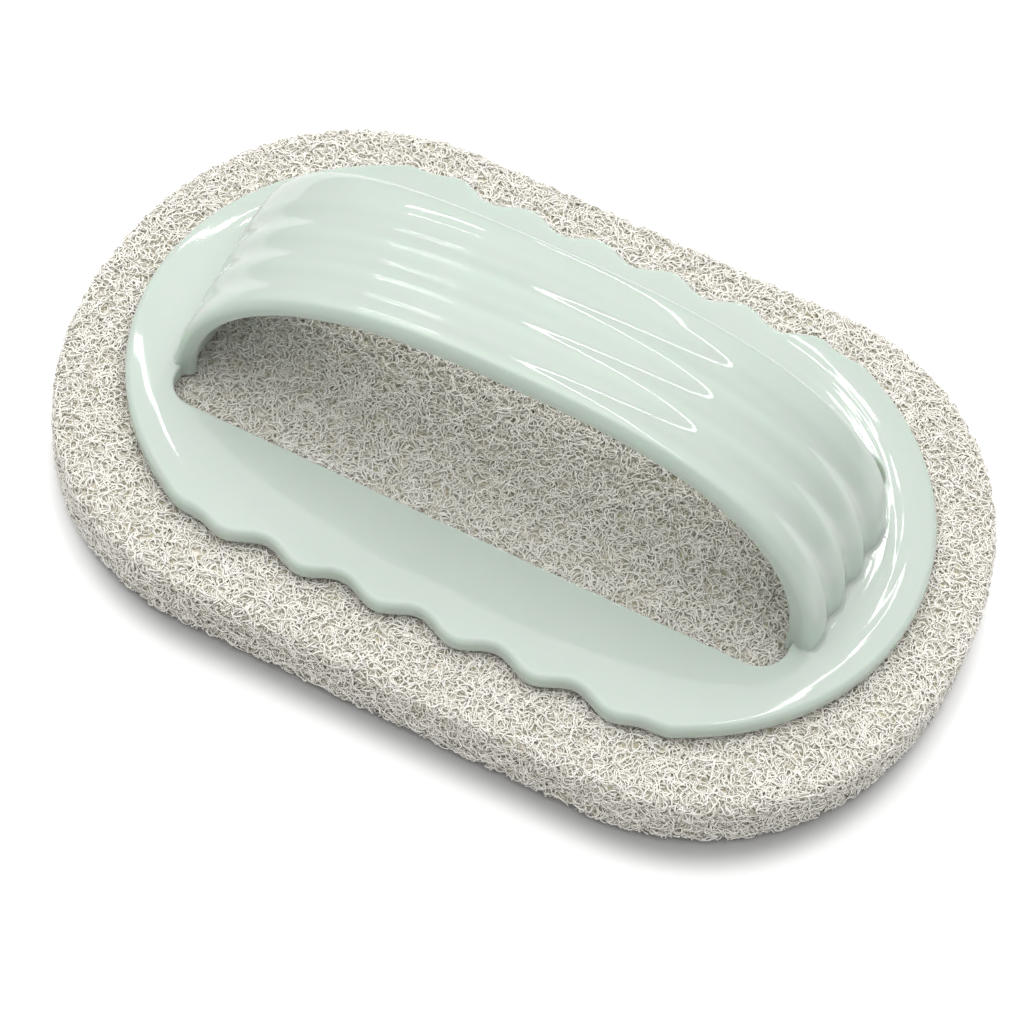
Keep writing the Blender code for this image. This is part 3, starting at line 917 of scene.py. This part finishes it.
core_with_painted_gap_shade, tree, output = new_material("polyester_web_painted_gap_shade")
place = add_node(tree, "ShaderNodeTexCoord")
cells = add_node(tree, "ShaderNodeTexVoronoi", {"Vector": place.outputs["Object"], "Scale": 1 / cell_size},
                 feature="DISTANCE_TO_EDGE")
wall = add_node(tree, "ShaderNodeMapRange", {"Value": cells.outputs["Distance"], "From Min": 0.0,
                                             "From Max": cell_wall})
# Painted shade: the cells take the dark colour, as the shade in the web's gaps; the light walls are the
# strands' own colour.
tone = add_node(tree, "ShaderNodeMix", {0: wall.outputs[0], 6: linear("fcf8ec"), 7: linear("bbb598")},
                data_type="RGBA")
pressed = add_node(tree, "ShaderNodeBump", {"Height": wall.outputs[0], "Strength": 1.0,
                                            "Distance": -cell_depth})
shader = add_node(tree, "ShaderNodeBsdfPrincipled", {
    "Base Color": tone.outputs[2], "Roughness": 0.9, "IOR": 1.5, "Metallic": 0.0,
    "Normal": pressed.outputs[0]})
tree.links.new(shader.outputs[0], output.inputs["Surface"])
core_mesh.materials.append(core_with_painted_gap_shade)
print("core material:", core_with_painted_gap_shade.name)

# %% [markdown]
# ## The adhesive
# The film between plate and pad is hot-melt adhesive, laid down as beads and pressed flat. Nothing of
# it shows from outside, but it keeps its own finish: waxy, cream-coloured, with soft ripples.

# %% Hot-melt film
bead_size, bead_height = 3 * mm, 0.05 * mm

film, tree, output = new_material("pressed_hot_melt_adhesive")
place = add_node(tree, "ShaderNodeTexCoord")
beads = add_node(tree, "ShaderNodeTexNoise", {"Vector": place.outputs["Object"], "Scale": 1 / bead_size,
                                              "Detail": 2.0})
tone = add_node(tree, "ShaderNodeMix", {0: beads.outputs["Fac"], 6: linear("d9cfae"), 7: linear("e8e0c6")},
                data_type="RGBA")
bead_bump = add_node(tree, "ShaderNodeBump", {"Height": beads.outputs["Fac"], "Strength": 1.0,
                                              "Distance": bead_height})
shader = add_node(tree, "ShaderNodeBsdfPrincipled", {
    "Base Color": tone.outputs[2], "Roughness": 0.38, "IOR": 1.48, "Metallic": 0.0,
    "Normal": bead_bump.outputs[0]})
tree.links.new(shader.outputs[0], output.inputs["Surface"])
film_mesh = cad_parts["adhesive_layer"].data
film_mesh.materials.clear()
film_mesh.materials.append(film)
print("film material:", film.name)
